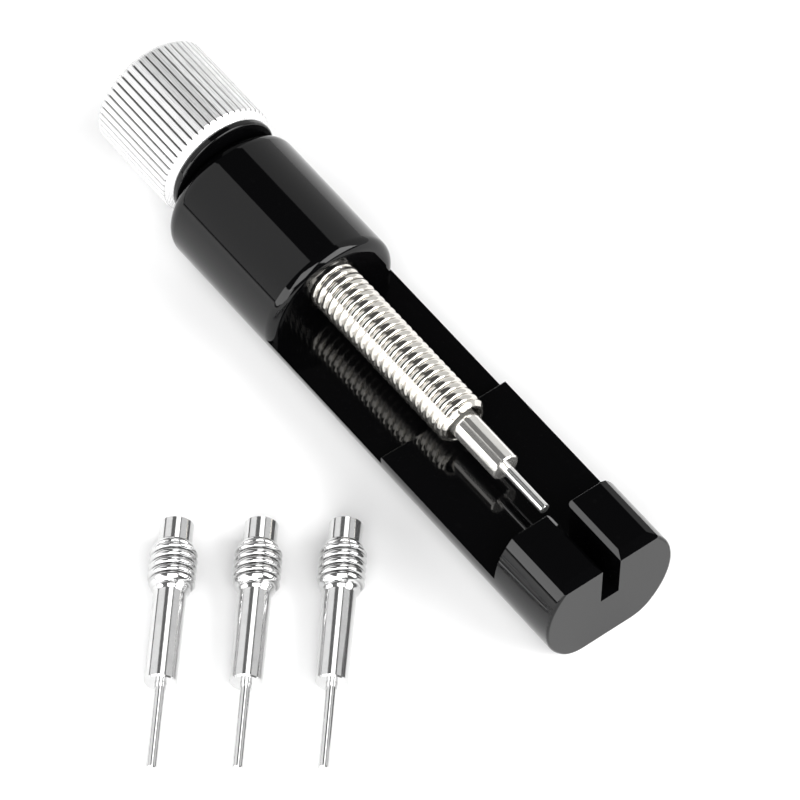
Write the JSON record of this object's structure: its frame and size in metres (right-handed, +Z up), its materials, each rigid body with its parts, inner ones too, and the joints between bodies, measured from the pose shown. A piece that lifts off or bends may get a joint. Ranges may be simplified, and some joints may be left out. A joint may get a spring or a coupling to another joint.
{
  "type": "watch bracelet pin remover",
  "caption": "Screw-driven pin remover for watch bracelet links: round black frame with an open seat and slotted anvil, threaded spindle with a knurled knob, needle tip and loose spare tips.",
  "frame": {"origin": "on the bottom flat, on the plane of symmetry, straight below the anvil's inner face", "axes": "+X along the screw line from the knob to the anvil, +Y to the left looking along +X, +Z up from the bottom flat"},
  "size_m": [0.0681, 0.0484, 0.0145],
  "materials": {
    "black_paint": "gloss black paint over turned and milled metal",
    "knob_metal": "bright turned metal with a fine straight knurl",
    "spindle_metal": "bright nickel plate",
    "holder_metal": "bright nickel plate",
    "needle_metal": "ground and polished steel"
  },
  "bodies": {
    "frame": {"frame": "black_paint"},
    "needle": {"tip_needle": "needle_metal"},
    "screw": {"spindle": "spindle_metal", "knob": "knob_metal", "tip_holder": "holder_metal"},
    "spare_tip_1": {"spare_tip_1_holder": "holder_metal", "spare_tip_1_needle": "needle_metal"},
    "spare_tip_2": {"spare_tip_2_holder": "holder_metal", "spare_tip_2_needle": "needle_metal"},
    "spare_tip_3": {"spare_tip_3_holder": "holder_metal", "spare_tip_3_needle": "needle_metal"}
  },
  "joints": [
    {"name": "screw_travel", "type": "slide", "parent": "frame", "child": "needle", "axis": [1, 0, 0], "range_m": [-0.03, 0]},
    {"name": "knob_turn", "type": "hinge", "parent": "needle", "child": "screw", "pos_m": [0, 0, 0.0085], "axis": [1, 0, 0], "range_deg": [-13500, 0]},
    {"name": "spare_tip_1_lift", "type": "slide", "parent": "frame", "child": "spare_tip_1", "axis": [0, 0, 1], "range_m": [0, 0.02]},
    {"name": "spare_tip_2_lift", "type": "slide", "parent": "frame", "child": "spare_tip_2", "axis": [0, 0, 1], "range_m": [0, 0.02]},
    {"name": "spare_tip_3_lift", "type": "slide", "parent": "frame", "child": "spare_tip_3", "axis": [0, 0, 1], "range_m": [0, 0.02]}
  ],
  "couplings": [
    {"joint": "knob_turn", "follows": "screw_travel", "rad_per_m": 7853.9}
  ]
}
